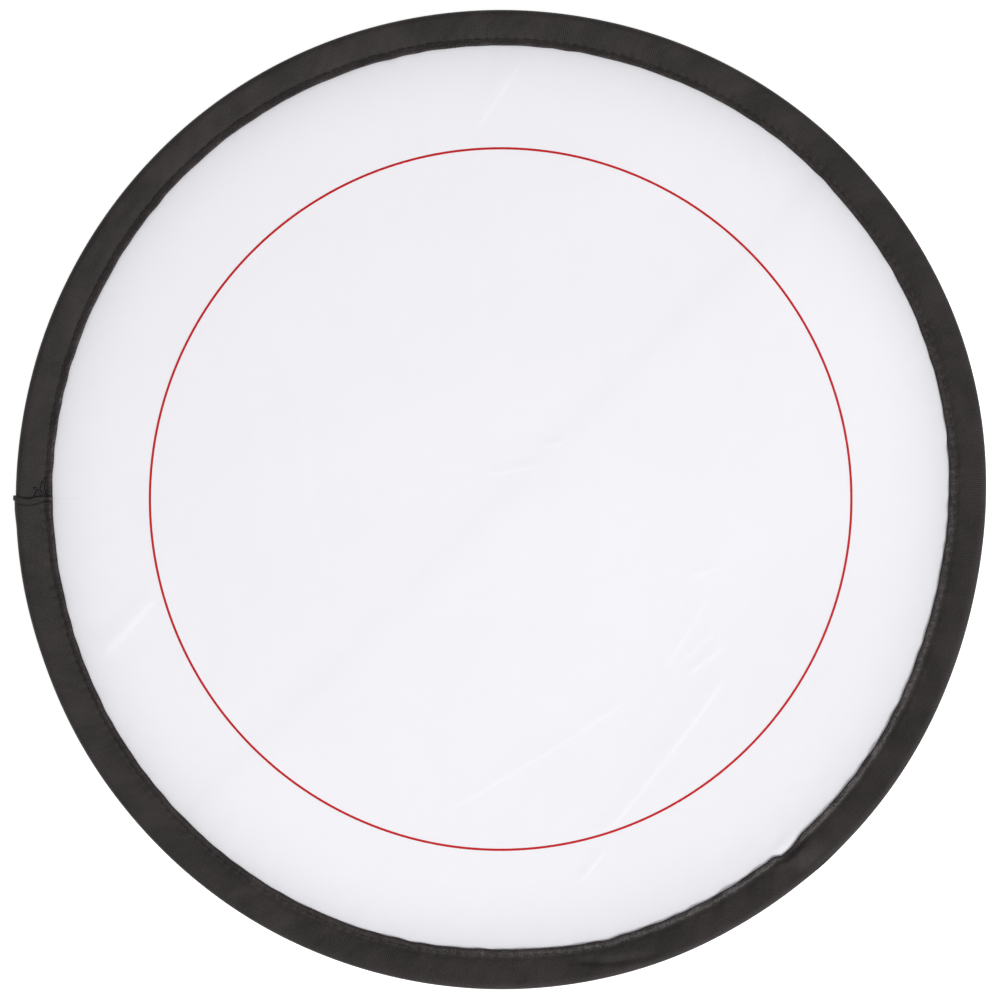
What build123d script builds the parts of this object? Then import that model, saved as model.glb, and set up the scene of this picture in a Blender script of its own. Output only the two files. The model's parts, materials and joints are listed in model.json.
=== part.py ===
"""A round fabric panel on a flat spring hoop that folds up on itself.

The panel lies flat on its back face: X and Y across it, +Z up through its thickness.
The tape seam is at -X. A flexible thing is cut into nine rigid strips, side by side
along X, and neighbours turn about a line parallel to Y in the fabric's own plane.
"""
from build123d import *
import math
import os

# Driving dimensions, in millimetres and degrees
OUTER_RADIUS = 125.0
RIM_THICKNESS = 3.8
RIM_FLAT_WIDTH = 1.3
RIM_CORNER_RADIUS = 0.6

TAPE_THICKNESS = 0.3
BINDING_WIDTH = 9.4
LIP_HEIGHT = 0.75
STITCH_INSET = 7.8
STITCH_LAND_WIDTH = 1.2
STITCH_LAND_HEIGHT = 0.45

PANEL_THICKNESS = 0.25
PANEL_RADIUS = 123.2

HOOP_THICKNESS = 0.45
HOOP_HEIGHT = 2.6
HOOP_RADIUS = 124.2
HOOP_END_GAP = 0.6
SLEEVE_WALL = 0.25
SLEEVE_LENGTH = 14.0
SLEEVE_ANGLE = 309.0

THREAD_WIDTH = 0.3
THREAD_THICKNESS = 0.15

TAPE_END_ANGLE = 180.0
TAPE_END_LENGTH = 10.0
TAPE_END_THICKNESS = 0.35
TAPE_END_ROLL_LENGTH = 1.3
TAPE_END_ROLL_THICKNESS = 0.75
TAPE_SQUEEZE = 0.12

TACK_BARS = 3
TACK_BAR_RADIUS = 0.12
TACK_BAR_LENGTH = 4.4
TACK_BAR_SPACING = 0.7
TACK_START = 0.6

CENTRE_HALF_WIDTH = 9.0
STRIP_WIDTH = 18.0
HINGES_EACH_SIDE = 4
FOLD_ANGLE = 30.0
HINGE_GAP = 0.36
BEVEL_MARGIN = 1.0

# Worked out from them
MIDDLE = RIM_THICKNESS / 2
STITCH_RADIUS = OUTER_RADIUS - STITCH_INSET
INNER_RADIUS = OUTER_RADIUS - BINDING_WIDTH
BEVEL_SLOPE = math.tan(math.radians(FOLD_ANGLE / 2 + BEVEL_MARGIN))
CUTTER_HALF_LENGTH = OUTER_RADIUS + 10
CUTTER_OVERRUN = 1.0


def tape_side(depth):
    """Section points of the folded tape at a depth below its outer face, front lip to back lip.

    Each point is (radius, height above the fabric's middle plane). A negative depth is outside.
    """
    land_inner = STITCH_RADIUS - STITCH_LAND_WIDTH / 2
    land_outer = STITCH_RADIUS + STITCH_LAND_WIDTH / 2
    front = [
        (INNER_RADIUS, LIP_HEIGHT - depth),
        (land_inner, STITCH_LAND_HEIGHT - depth),
        (land_outer, STITCH_LAND_HEIGHT - depth),
        (OUTER_RADIUS - RIM_FLAT_WIDTH, MIDDLE - depth),
        (OUTER_RADIUS - depth, MIDDLE - depth),
    ]
    back = [(radius, -height) for radius, height in reversed(front)]
    return front + back


def tape_height(radius):
    """Height of the tape's sloping outer face above the middle plane at a radius."""
    land_outer = STITCH_RADIUS + STITCH_LAND_WIDTH / 2
    run = OUTER_RADIUS - RIM_FLAT_WIDTH - land_outer
    rise = MIDDLE - STITCH_LAND_HEIGHT
    return STITCH_LAND_HEIGHT + rise * max(0.0, radius - land_outer) / run


def layer_between(outer_depth, inner_depth):
    """The folded tape's section between two depths, as a flat face."""
    outer = tape_side(outer_depth)
    inner = list(reversed(tape_side(inner_depth)))
    return make_face(Polyline(*outer, *inner, close=True))


def block(inner_radius, outer_radius, low, high):
    """A rectangular section between two radii and two heights above the middle plane."""
    centre = Pos((inner_radius + outer_radius) / 2, (low + high) / 2)
    return centre * Rectangle(outer_radius - inner_radius, high - low)


def turned(section, start=0.0, sweep=360.0):
    """A section of (radius, height) swept about the panel's axis from one azimuth."""
    swept = revolve(Plane.XZ * section, Axis.Z, sweep)
    return Pos(0, 0, MIDDLE) * Rot(0, 0, start) * swept


def arc_degrees(length, radius):
    """The angle that an arc of this length takes at this radius."""
    return math.degrees(length / radius)


def make_binding():
    """One strip of ribbon folded over the rim, both legs sewn down along the stitch line."""
    section = layer_between(0, TAPE_THICKNESS)
    corners = [v for v in section.vertices() if abs(v.X - OUTER_RADIUS) < 1e-6]
    return turned(fillet(corners, RIM_CORNER_RADIUS))


def make_tape_end_layer(thickness, length):
    """A layer laid over the folded tape that stays between the rim's two resting planes."""
    tallest = block(INNER_RADIUS, OUTER_RADIUS + thickness, -MIDDLE, MIDDLE)
    layer = layer_between(-thickness, 0) & tallest
    flat_inner = OUTER_RADIUS - RIM_FLAT_WIDTH - TAPE_SQUEEZE
    for side in (-1, 1):
        low, high = sorted((side * (MIDDLE - TAPE_SQUEEZE), side * MIDDLE))
        layer += block(flat_inner, OUTER_RADIUS + thickness, low, high)
    return turned(layer, TAPE_END_ANGLE, arc_degrees(length, OUTER_RADIUS))


def make_tape_end():
    """The tape's finishing end, turned under so that its edge is a raised roll."""
    roll = make_tape_end_layer(TAPE_END_ROLL_THICKNESS, TAPE_END_ROLL_LENGTH)
    return roll + make_tape_end_layer(TAPE_END_THICKNESS, TAPE_END_LENGTH)


def make_panel():
    """The disc of thin white cloth, whose raw edge is inside the binding."""
    return Pos(0, 0, MIDDLE) * Cylinder(PANEL_RADIUS, PANEL_THICKNESS)


def make_hoop():
    """The flat spring steel band, on edge in the tape's fold, open at its two ends."""
    inner = HOOP_RADIUS - HOOP_THICKNESS / 2
    outer = HOOP_RADIUS + HOOP_THICKNESS / 2
    gap = arc_degrees(HOOP_END_GAP, HOOP_RADIUS)
    section = block(inner, outer, -HOOP_HEIGHT / 2, HOOP_HEIGHT / 2)
    return turned(section, SLEEVE_ANGLE + gap / 2, 360 - gap)


def make_hoop_sleeve():
    """The crimped sleeve that holds the hoop's two ends together."""
    half_hole = HOOP_THICKNESS / 2 + 0.01
    half_hole_height = HOOP_HEIGHT / 2 + 0.01
    outer = block(
        HOOP_RADIUS - half_hole - SLEEVE_WALL,
        HOOP_RADIUS + half_hole + SLEEVE_WALL,
        -half_hole_height - SLEEVE_WALL,
        half_hole_height + SLEEVE_WALL,
    )
    hole = block(
        HOOP_RADIUS - half_hole,
        HOOP_RADIUS + half_hole,
        -half_hole_height,
        half_hole_height,
    )
    sweep = arc_degrees(SLEEVE_LENGTH, HOOP_RADIUS)
    return turned(outer - hole, SLEEVE_ANGLE - sweep / 2, sweep)


def make_thread(side):
    """A line of lockstitch lying on the binding, and up over the tape's end: front +1, back -1."""
    end_sweep = arc_degrees(TAPE_END_LENGTH, OUTER_RADIUS)
    roll_sweep = arc_degrees(TAPE_END_ROLL_LENGTH, OUTER_RADIUS)
    clear = arc_degrees(0.3, STITCH_RADIUS)
    after_end = TAPE_END_ANGLE + end_sweep + clear
    stretches = (
        (0.0, after_end, 360 - end_sweep - 2 * clear),
        (TAPE_END_THICKNESS, TAPE_END_ANGLE + roll_sweep + clear, end_sweep - roll_sweep - clear),
        (TAPE_END_ROLL_THICKNESS, TAPE_END_ANGLE, roll_sweep),
    )
    line = None
    for lift, start, sweep in stretches:
        foot = side * (STITCH_LAND_HEIGHT + lift)
        low, high = sorted((foot, foot + side * THREAD_THICKNESS))
        section = block(STITCH_RADIUS - THREAD_WIDTH / 2, STITCH_RADIUS + THREAD_WIDTH / 2, low, high)
        stretch = turned(section, start, sweep)
        line = stretch if line is None else line + stretch
    return line


def make_end_tack():
    """Short bars of back-and-forth stitches that lock the seam beside the tape's end."""
    bars = []
    bar = Rot(90, 0, 0) * Cylinder(TACK_BAR_RADIUS, TACK_BAR_LENGTH)
    first = STITCH_RADIUS + THREAD_WIDTH / 2 + 2 * TACK_BAR_RADIUS + 0.1
    for side in (-1, 1):
        for index in range(TACK_BARS):
            radius = first + index * TACK_BAR_SPACING
            height = tape_height(radius + TACK_BAR_RADIUS) + TACK_BAR_RADIUS + 0.02
            middle = TACK_START + TACK_BAR_LENGTH / 2
            bars.append(Pos(-radius, middle, MIDDLE + side * height) * bar)
    return Compound(children=bars)


def strip_edges():
    """Each strip's name, with the hinge lines that bound it or None at the rim."""
    lines = [CENTRE_HALF_WIDTH + index * STRIP_WIDTH for index in range(HINGES_EACH_SIDE)]
    edges = {"centre": (-lines[0], lines[0])}
    for index, line in enumerate(lines):
        beyond = lines[index + 1] if index + 1 < len(lines) else None
        edges[f"right_{index + 1}"] = (line, beyond)
        edges[f"left_{index + 1}"] = (None if beyond is None else -beyond, -line)
    return edges


def strip_side(line, inward):
    """The cut beside a hinge line, low to high: upright below the hinge and leaning back above it.

    inward is +1 where the strip lies on the line's +X side, and -1 where it lies on the other.
    """
    if line is None:
        far = -inward * CUTTER_HALF_LENGTH
        return [(far, -CUTTER_OVERRUN), (far, RIM_THICKNESS + CUTTER_OVERRUN)]
    near = line + inward * HINGE_GAP / 2
    top = near + inward * (MIDDLE + CUTTER_OVERRUN) * BEVEL_SLOPE
    return [(near, -CUTTER_OVERRUN), (near, MIDDLE), (top, RIM_THICKNESS + CUTTER_OVERRUN)]


def strip_cutter(lower_line, upper_line):
    """The space of one strip, with bevelled sides that just close when the panel folds."""
    outline = strip_side(lower_line, 1) + list(reversed(strip_side(upper_line, -1)))
    section = Plane.XZ * make_face(Polyline(*outline, close=True))
    return extrude(section, CUTTER_HALF_LENGTH, both=True)


def write(node, shape):
    """Write one node's solids to its own file."""
    solids = list(shape.solids())
    export_step(solids[0] if len(solids) == 1 else Compound(children=solids), f"parts/{node}.step")
    print(f"{node}: {len(solids)} solids")


os.makedirs("parts", exist_ok=True)

tape_end = make_tape_end()
whole_pieces = {
    "panel": make_panel(),
    "binding": make_binding() - tape_end,
    "hoop": make_hoop(),
    "front_thread": make_thread(1),
    "back_thread": make_thread(-1),
}
for strip, (lower, upper) in strip_edges().items():
    cutter = strip_cutter(lower, upper)
    for piece, whole in whole_pieces.items():
        write(f"{piece}_{strip}", whole & cutter)

write("tape_end", tape_end)
write("hoop_sleeve", make_hoop_sleeve())
write("end_tack", make_end_tack())
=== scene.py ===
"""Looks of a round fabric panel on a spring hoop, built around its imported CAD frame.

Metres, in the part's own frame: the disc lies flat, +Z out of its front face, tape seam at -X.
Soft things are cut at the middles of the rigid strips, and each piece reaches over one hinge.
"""
import json
import math

import bmesh
import bpy
import numpy as np
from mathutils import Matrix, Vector

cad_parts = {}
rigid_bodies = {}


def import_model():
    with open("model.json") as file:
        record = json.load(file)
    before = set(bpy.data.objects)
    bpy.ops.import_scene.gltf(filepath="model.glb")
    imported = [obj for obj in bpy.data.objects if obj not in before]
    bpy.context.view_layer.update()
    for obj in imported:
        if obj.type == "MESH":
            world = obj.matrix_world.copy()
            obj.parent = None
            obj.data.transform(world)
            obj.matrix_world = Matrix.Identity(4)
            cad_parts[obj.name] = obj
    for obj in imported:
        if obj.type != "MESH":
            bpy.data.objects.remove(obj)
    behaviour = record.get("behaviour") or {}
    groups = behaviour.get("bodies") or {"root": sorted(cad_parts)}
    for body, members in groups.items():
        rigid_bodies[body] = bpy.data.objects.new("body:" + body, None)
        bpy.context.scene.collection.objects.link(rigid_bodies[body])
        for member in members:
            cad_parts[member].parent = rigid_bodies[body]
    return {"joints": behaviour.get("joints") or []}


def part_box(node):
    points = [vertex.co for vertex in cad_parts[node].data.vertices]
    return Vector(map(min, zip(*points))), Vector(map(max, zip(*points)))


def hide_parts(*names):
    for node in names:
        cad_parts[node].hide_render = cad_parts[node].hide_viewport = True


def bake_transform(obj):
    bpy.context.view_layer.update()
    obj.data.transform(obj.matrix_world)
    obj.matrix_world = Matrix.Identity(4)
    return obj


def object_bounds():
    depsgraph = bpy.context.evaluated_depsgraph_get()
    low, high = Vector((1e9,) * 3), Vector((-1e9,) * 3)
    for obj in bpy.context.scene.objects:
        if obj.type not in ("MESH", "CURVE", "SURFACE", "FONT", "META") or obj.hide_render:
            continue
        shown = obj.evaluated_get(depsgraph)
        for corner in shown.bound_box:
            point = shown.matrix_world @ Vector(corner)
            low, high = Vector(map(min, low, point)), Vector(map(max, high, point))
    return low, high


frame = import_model()
cad_low, cad_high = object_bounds()

MM = 0.001
TURN = 2 * math.pi

# ---------------------------------------------------------------- sizes
RIM_RADIUS = cad_high.y
MIDDLE = (cad_low.z + cad_high.z) / 2
PANEL_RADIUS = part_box("panel_centre")[1].y

TAPE_THICKNESS = 0.28 * MM
BINDING_WIDTH_MM = 9.4
STITCH_INSET = 1.6 * MM
STITCH_PITCH = 2.5 * MM
SEAM_DEPTH = 7.8 * MM
STITCH_COUNT = round(TURN * (RIM_RADIUS - SEAM_DEPTH) / STITCH_PITCH)
COLUMNS_PER_STITCH = 6
THREAD_RADIUS = 0.14 * MM
THREAD_SIDES = 8
TACK_RADIUS = 0.26 * MM

SEAM_ANGLE = -math.pi - 0.0045
LAP_LENGTH = 10.0 * MM
FOLD_LIFT = 0.70 * MM
LAP_LIFT = 0.32 * MM

HOOP_INSET = 0.95 * MM
FLOOR_GAP = 0.01 * MM
HOOP_THICKNESS = 0.45 * MM
HOOP_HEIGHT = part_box("hoop_centre")[1].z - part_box("hoop_centre")[0].z
HOOP_CORNER = 0.12 * MM
HOOP_END_GAP = 0.6 * MM
HOOP_COLUMNS = 721
SLEEVE_ANGLE = math.radians(309)
SLEEVE_LENGTH = 14 * MM
SLEEVE_EXTRA = (0.5 * MM, 0.4 * MM)
SLEEVE_CORNER = 0.2 * MM
CRIMP_PLACES = (0.3, 0.7)
CRIMP_DEPTH = 0.22
SLEEVE_COLUMNS = 41

CLOTH_GRID = 0.55 * MM
CLOTH_TIP_GAP = 0.3 * MM
SLOPE_STEP = 0.05 * MM
CROWN_HEIGHT = 0.25 * MM
CROWN_REACH = 9.0 * MM
SEAM_HOLD = 0.5 * MM
LIP_REACH = STITCH_INSET - SEAM_HOLD

RING_RADIUS = 89.95 * MM
RING_WIDTH = 0.60 * MM
RING_CENTRE = (-0.14 * MM, -0.09 * MM)
RING_LIFT = 0.03 * MM
RING_COLUMNS = 1440

NOTCH_ANGLE = math.radians(308.4)
# Where the ribbon's front carries a painted highlight, just past the pucker.
LIT_PATCH_ANGLE = math.radians(310.9)
# The way in which the cloth's painted shade grows darker: toward the lower right.
PAINTED_SHADE_WAY = (math.cos(math.radians(313)), math.sin(math.radians(313)), 0)

# Parts of the rim where the ribbon's inner edge lies its own way: middle azimuth and reach, in degrees.
SUNLIT = (318, 48)
SHADED = (135, 44)
LEANING = (207, 50)
BULGE = (283.6, 1.3)

# ---------------------------------------------------------------- surroundings' numbers
FLOOR_HALF = 8.0
FLOOR_GLOW = 0.72
WORLD_STRENGTH = 0.43
LAMP_PLACE = (0.90, -1.00, 1.35)
LAMP_SIZE = 0.7
LAMP_POWER = 27.0
SEEN_WIDTH = 256.5 * MM
CAMERA_PLACE = (-0.308 * MM, -0.333 * MM, 1.6)
SENSOR_WIDTH = 36


# ---------------------------------------------------------------- folding
def fold_lines():
    """Each fold piece's name, its two bodies, and the x where it starts and ends.

    A piece reaches from the middle of one strip to the middle of the next, or to the rim.
    """
    folds = []
    for side, sign in (("right", 1), ("left", -1)):
        own = [j for j in frame["joints"] if j["child"].startswith(side)]
        own.sort(key=lambda j: abs(j["pos_m"][0]))
        lines = [abs(j["pos_m"][0]) for j in own]
        half = lines[0]
        for joint, line in zip(own, lines):
            folds.append(
                {
                    "name": joint["child"],
                    "bodies": (joint["parent"], joint["child"]),
                    "start": sign * (line - half),
                    "end": sign * (line + half),
                    "last": line == lines[-1],
                }
            )
    return folds


FOLDS = fold_lines()
CUTS = sorted({fold["start"] for fold in FOLDS})
LAST_LEFT = next(fold for fold in FOLDS if fold["last"] and fold["end"] < 0)
LAST_RIGHT = next(fold for fold in FOLDS if fold["last"] and fold["end"] > 0)


def fold_at(x):
    """The number of the fold piece that holds each x."""
    numbers = np.zeros(len(x), int)
    for number, fold in enumerate(FOLDS):
        inner = abs(fold["start"])
        outer = math.inf if fold["last"] else abs(fold["end"])
        same_side = x >= 0 if fold["end"] > 0 else x < 0
        numbers[same_side & (np.abs(x) >= inner) & (np.abs(x) < outer)] = number
    return numbers


# ---------------------------------------------------------------- numbers
WAVE_GAIN = 1.6


def smooth(t):
    """0 below 0, 1 above 1, and smooth between them."""
    t = np.clip(t, 0, 1)
    return t * t * (3 - 2 * t)


def bump(t):
    """A smooth bump, 1 at 0 and gone beyond about 2."""
    return np.exp(-t * t)


def angle_between(a, b):
    """The signed angle from b to a, from minus to plus half a turn."""
    return (a - b + math.pi) % TURN - math.pi


def zone(angle, middle, reach):
    """1 at a middle azimuth, fading out over a reach, both in degrees."""
    return bump(angle_between(angle, math.radians(middle)) / math.radians(reach))


def past_notch(angle):
    """How far round the rim a place lies past the pucker."""
    return angle_between(angle, NOTCH_ANGLE) * RIM_RADIUS


def polar(radius, angle, height):
    """Points from their radii, azimuths and heights."""
    return np.stack([radius * np.cos(angle), radius * np.sin(angle), height], -1)


def waves(seed, longest, shortest, count=24):
    """A smooth random function of a length: sines between two wavelengths, about -1 to 1."""
    source = np.random.default_rng(seed)
    lengths = np.exp(source.uniform(math.log(shortest), math.log(longest), count))
    phases = source.uniform(0, TURN, count)
    sizes = source.uniform(0.4, 1.0, count) / math.sqrt(count)

    def at(along):
        along = np.asarray(along, float)
        total = np.zeros_like(along)
        for length, phase, size in zip(lengths, phases, sizes):
            total += size * np.sin(TURN * along / length + phase)
        return total * WAVE_GAIN

    return at


def plane_waves(seed, longest, shortest, count=28):
    """A smooth random function of x and y, about -1 to 1."""
    source = np.random.default_rng(seed)
    lengths = np.exp(source.uniform(math.log(shortest), math.log(longest), count))
    headings = source.uniform(0, math.pi, count)
    phases = source.uniform(0, TURN, count)
    sizes = source.uniform(0.4, 1.0, count) / math.sqrt(count)

    def at(x, y):
        total = np.zeros_like(np.asarray(x, float))
        for length, heading, phase, size in zip(lengths, headings, phases, sizes):
            across = x * math.cos(heading) + y * math.sin(heading)
            total += size * np.sin(TURN * across / length + phase)
        return total * WAVE_GAIN

    return at


# ---------------------------------------------------------------- outline
# Measured radii every 10 degrees from +X, in millimetres: the disc isn't quite round.
RIM_RADII = (
    (124.40, 124.98, 125.35, 125.44, 125.46, 125.61, 125.59, 125.49, 125.39)
    + (125.40, 125.38, 125.40, 125.36, 125.21, 124.96, 124.74, 124.59, 124.47)
    + (124.53, 124.57, 124.53, 124.83, 125.04, 125.33, 125.61, 125.72, 125.82)
    + (125.89, 125.86, 125.71, 125.28, 124.98, 124.72, 124.35, 123.96, 123.93)
)
INNER_RADII = (
    (114.84, 115.57, 115.90, 116.15, 116.08, 116.39, 116.36, 116.19, 116.20)
    + (116.30, 116.32, 116.29, 116.23, 116.15, 115.95, 115.63, 115.55, 115.37)
    + (115.14, 114.85, 114.93, 115.13, 115.30, 115.58, 115.83, 115.91, 115.82)
    + (115.60, 116.06, 115.94, 115.63, 115.36, 115.11, 114.76, 114.21, 114.25)
)
edge_wander = waves(12, 24 * MM, 6 * MM)


def natural_curve(knots, values, at):
    """A smooth curve through points, by Catmull-Rom slopes."""
    slopes = np.gradient(values, knots)
    number = np.clip(np.searchsorted(knots, at, side="right") - 1, 0, len(knots) - 2)
    gap = knots[number + 1] - knots[number]
    t = (at - knots[number]) / gap
    a, b = values[number], values[number + 1]
    sa, sb = slopes[number] * gap, slopes[number + 1] * gap
    return (
        a * (2 * t**3 - 3 * t**2 + 1)
        + sa * (t**3 - 2 * t**2 + t)
        + b * (3 * t**2 - 2 * t**3)
        + sb * (t**3 - t**2)
    )


def round_curve(radii, angle):
    """The radius at an angle, from radii measured all round."""
    numbers = np.arange(-2, len(radii) + 3)
    knots = numbers * 360.0 / len(radii)
    values = np.array(radii)[numbers % len(radii)]
    return natural_curve(knots, values, np.degrees(angle) % 360) * MM


def notch(angle):
    """How far the inner edge draws back at the pucker: steep on one side, long on the other."""
    past = past_notch(angle)
    steep = smooth((past + 2.8 * MM) / (2.8 * MM))
    long = 1 - smooth((past - 1.5 * MM) / (7.2 * MM))
    lip = 0.08 * bump((past + 3.4 * MM) / (1.3 * MM))
    return MM * (1.10 * steep * long - lip)


def rim_edge(angle):
    """The binding's outer edge."""
    return round_curve(RIM_RADII, angle)


def inner_edge(angle):
    """The binding's inner edge, a little wavy where the sewing pulls at it."""
    wander = 0.05 * edge_wander(angle * RIM_RADIUS)
    bulge = 0.42 * zone(angle, *BULGE)
    return round_curve(INNER_RADII, angle) + MM * (wander + bulge) + notch(angle)


def stitch_radius(angle):
    """The line of stitching, which runs on evenly past the pucker."""
    return inner_edge(angle) - 0.75 * notch(angle) + STITCH_INSET


# ---------------------------------------------------------------- cloth
cloth_swell = plane_waves(21, 90 * MM, 30 * MM)
cloth_ripple = plane_waves(22, 16 * MM, 6 * MM)
edge_pucker = waves(23, 24 * MM, 6 * MM)

# Creases in the cloth, in millimetres: start x, y, end x, y, height, and the reach of its steep
# side and of its long side.
CREASES = (
    (-6.5, 94.5, 5.5, 112.5, 0.11, 1.5, 5.6),
    (-102.0, -40.0, -88.5, -25.0, 0.19, 2.2, 5.5),
    (-13.0, -80.0, 7.0, -68.0, 0.058, 1.14, 4.2),
    (5.0, -69.5, 32.6, -52.0, 0.072, 1.14, 4.2),
    (26.5, -86.5, 42.0, -67.5, 0.11, 1.5, 4.2),
    (41.0, -68.5, 58.5, -44.5, 0.125, 1.6, 4.9),
    (41.5, -45.0, 53.0, -25.5, 0.07, 1.2, 3.5),
    (48.5, -20.5, 57.5, -17.5, 0.075, 1.14, 2.8),
    (48.0, -45.5, 57.5, -38.0, 0.085, 1.14, 2.8),
    (46.5, -42.5, 56.0, -33.0, 0.051, 1.14, 2.8),
    (-3.5, 5.8, 9.5, 8.2, 0.085, 0.95, 2.8),
    (10.0, 12.8, 16.5, 14.0, 0.075, 0.95, 2.1),
    (20.5, -98.5, 27.0, -90.5, 0.102, 1.14, 2.8),
    (21.0, -96.0, 24.5, -97.5, 0.065, 0.95, 2.1),
    (-58.5, -27.0, -66.0, 49.0, 0.043, 2.28, 7.0),
    (-47.5, -13.0, -54.5, 39.0, 0.036, 1.9, 5.6),
    (-81.5, 20.0, -79.0, 44.0, 0.043, 2.28, 4.2),
    (0.5, 44.0, 9.5, 57.0, 0.043, 1.71, 3.5),
    (16.0, 76.0, 27.5, 82.5, 0.043, 1.52, 3.5),
    (72.5, 76.0, 66.0, 90.0, 0.072, 1.52, 2.8),
    (107.5, 21.0, 96.0, 31.0, 0.058, 1.52, 2.8),
    (-30.0, -3.0, -15.5, 5.5, 0.036, 1.52, 4.2),
    (12.0, 50.0, 26.0, 57.0, 0.036, 1.52, 3.5),
    (-85.0, -51.5, -77.0, -33.0, 0.043, 1.9, 4.2),
)


def crease_height(x, y, crease):
    """A crease that fades out at its ends: steep on its right, looking along it, long on its left."""
    x0, y0, x1, y1, height, steep, long = (value * MM for value in crease)
    along_x, along_y = x1 - x0, y1 - y0
    length = math.hypot(along_x, along_y)
    t = ((x - x0) * along_x + (y - y0) * along_y) / length**2
    off = ((x - x0) * along_y - (y - y0) * along_x) / length
    off = off + 0.75 * MM - 0.012 * length * np.sin(math.pi * np.clip(t, 0, 1))
    ridge = np.where(off > 0, 1 - smooth(off / steep), smooth(1 + off / long))
    fade = smooth(t / 0.17 + 0.2) * smooth((1 - t) / 0.17 + 0.2)
    return height * ridge * fade


def cloth_height(x, y):
    """Height of the cloth above the part's base: it enters the binding near the middle plane."""
    angle = np.arctan2(y, x)
    inward = stitch_radius(angle) - SEAM_HOLD - np.hypot(x, y)
    inside = np.clip(inward, 0, None)
    free = smooth(inward / (5 * MM))
    crown = CROWN_HEIGHT * (1 - np.exp(-inside / CROWN_REACH))
    swell = 0.05 * MM * cloth_swell(x, y) + 0.008 * MM * cloth_ripple(x, y)
    pucker = 0.03 * MM * edge_pucker(angle * RIM_RADIUS) * np.exp(-inside / (6 * MM))
    creases = sum(crease_height(x, y, crease) for crease in CREASES)
    past = past_notch(angle)
    along_tuck = smooth((past + 3 * MM) / (3 * MM)) * (1 - smooth((past - 1 * MM) / (9 * MM)))
    from_edge = inner_edge(angle) - np.hypot(x, y)
    tuck = -0.20 * MM * along_tuck * (1 - smooth(from_edge / (1.6 * MM)))
    ridge = 0.16 * MM * along_tuck * bump((from_edge - 2.2 * MM) / (1.2 * MM))
    beyond_lip = np.clip(inward - LIP_REACH, 0, None)
    at_lip = smooth(inward / LIP_REACH) * np.exp(-beyond_lip / (2.5 * MM))
    rise = 0.18 * MM * at_lip * (1 - along_tuck) * (1 - 0.8 * zone(angle, *LEANING))
    edge = pucker * smooth(inward / MM)
    return MIDDLE + crown + free * (swell + creases) + edge + tuck + ridge + rise


# ---------------------------------------------------------------- meshes
def new_mesh(name, points, faces, normals=None, flat=None):
    """A smooth mesh, with its vertex normals and its place on the flat material if they're given."""
    mesh = bpy.data.meshes.new(name)
    mesh.from_pydata(np.asarray(points).tolist(), [], faces, shade_flat=False)
    if flat is not None:
        place = mesh.attributes.new("flat_place", "FLOAT_VECTOR", "POINT")
        place.data.foreach_set("vector", np.asarray(flat, np.float32).ravel())
    if normals is not None:
        mesh.normals_split_custom_set_from_vertices(np.asarray(normals).tolist())
    return mesh


def grid_faces(columns, rows, close_rows=False):
    """Quads between neighbouring columns of points, numbered column by column."""
    column = np.arange(columns - 1)[:, None] * rows
    row = np.arange(rows if close_rows else rows - 1)[None, :]
    following = (row + 1) % rows
    near, far = column, column + rows
    quads = np.stack([near + row, far + row, far + following, near + following], -1)
    return quads.reshape(-1, 4).tolist()


def flat_grid(along, across):
    """Places on the flat material for columns of points, numbered column by column."""
    x, y = np.repeat(along, len(across)), np.tile(across, len(along))
    return np.stack([x, y, np.zeros_like(x)], -1)


def cut_at_folds(mesh):
    """Cuts a mesh where the fold pieces meet."""
    cutter = bmesh.new()
    cutter.from_mesh(mesh)
    for x in CUTS:
        everything = cutter.verts[:] + cutter.edges[:] + cutter.faces[:]
        bmesh.ops.bisect_plane(
            cutter, geom=everything, dist=1e-6, plane_co=(x, 0, 0), plane_no=(1, 0, 0)
        )
    cutter.to_mesh(mesh)
    cutter.free()


def read_vectors(values, key, count):
    """A mesh's own values as rows of three."""
    found = np.zeros(count * 3)
    values.foreach_get(key, found)
    return found.reshape(-1, 3)


def split_at_folds(name, mesh, part_names=("",)):
    """One piece for each fold, which share their edges and the whole mesh's normals.

    A face's material index says which part it is: each named part is split off as well.
    Returns (fold, part name, object).
    """
    count = len(mesh.vertices)
    points = read_vectors(mesh.vertices, "co", count)
    normals = read_vectors(mesh.vertex_normals, "vector", count)
    flat = read_vectors(mesh.attributes["flat_place"].data, "vector", count)
    parts = np.zeros(len(mesh.polygons), int)
    mesh.polygons.foreach_get("material_index", parts)
    faces = [tuple(face.vertices) for face in mesh.polygons]
    centres = np.array([points[list(face), 0].mean() for face in faces])
    homes = fold_at(centres)
    made = []
    for number, fold in enumerate(FOLDS):
        for part, part_name in enumerate(part_names):
            chosen = np.flatnonzero((homes == number) & (parts == part))
            if not len(chosen):
                continue
            used = np.unique(np.concatenate([faces[i] for i in chosen]))
            renumbered = np.full(count, -1)
            renumbered[used] = np.arange(len(used))
            own_faces = [renumbered[list(faces[i])].tolist() for i in chosen]
            full_name = part_name or f"{name}_{fold['name']}"
            own = new_mesh(full_name, points[used], own_faces, normals[used], flat[used])
            made.append((fold, part_name, add_object(full_name, own)))
    bpy.data.meshes.remove(mesh)
    return made


def add_object(name, mesh):
    """Shows a mesh in the scene."""
    made = bpy.data.objects.new(name, mesh)
    bpy.context.scene.collection.objects.link(made)
    return made


def finish_piece(piece, fold, material, nodes):
    """Gives a fold piece its material and hides the CAD nodes it stands for."""
    piece.data.materials.clear()
    piece.data.materials.append(material)
    if nodes:
        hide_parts(*nodes)
    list(fold["bodies"])
    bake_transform(piece)


def nodes_of(kind, fold):
    """The CAD nodes of one kind that a fold piece stands for: its outer strip's.

    One piece takes the centre strip's as well.
    """
    found = [f"{kind}_{fold['name']}"]
    if fold["name"] == "right_1":
        found.append(f"{kind}_centre")
    return found


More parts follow.
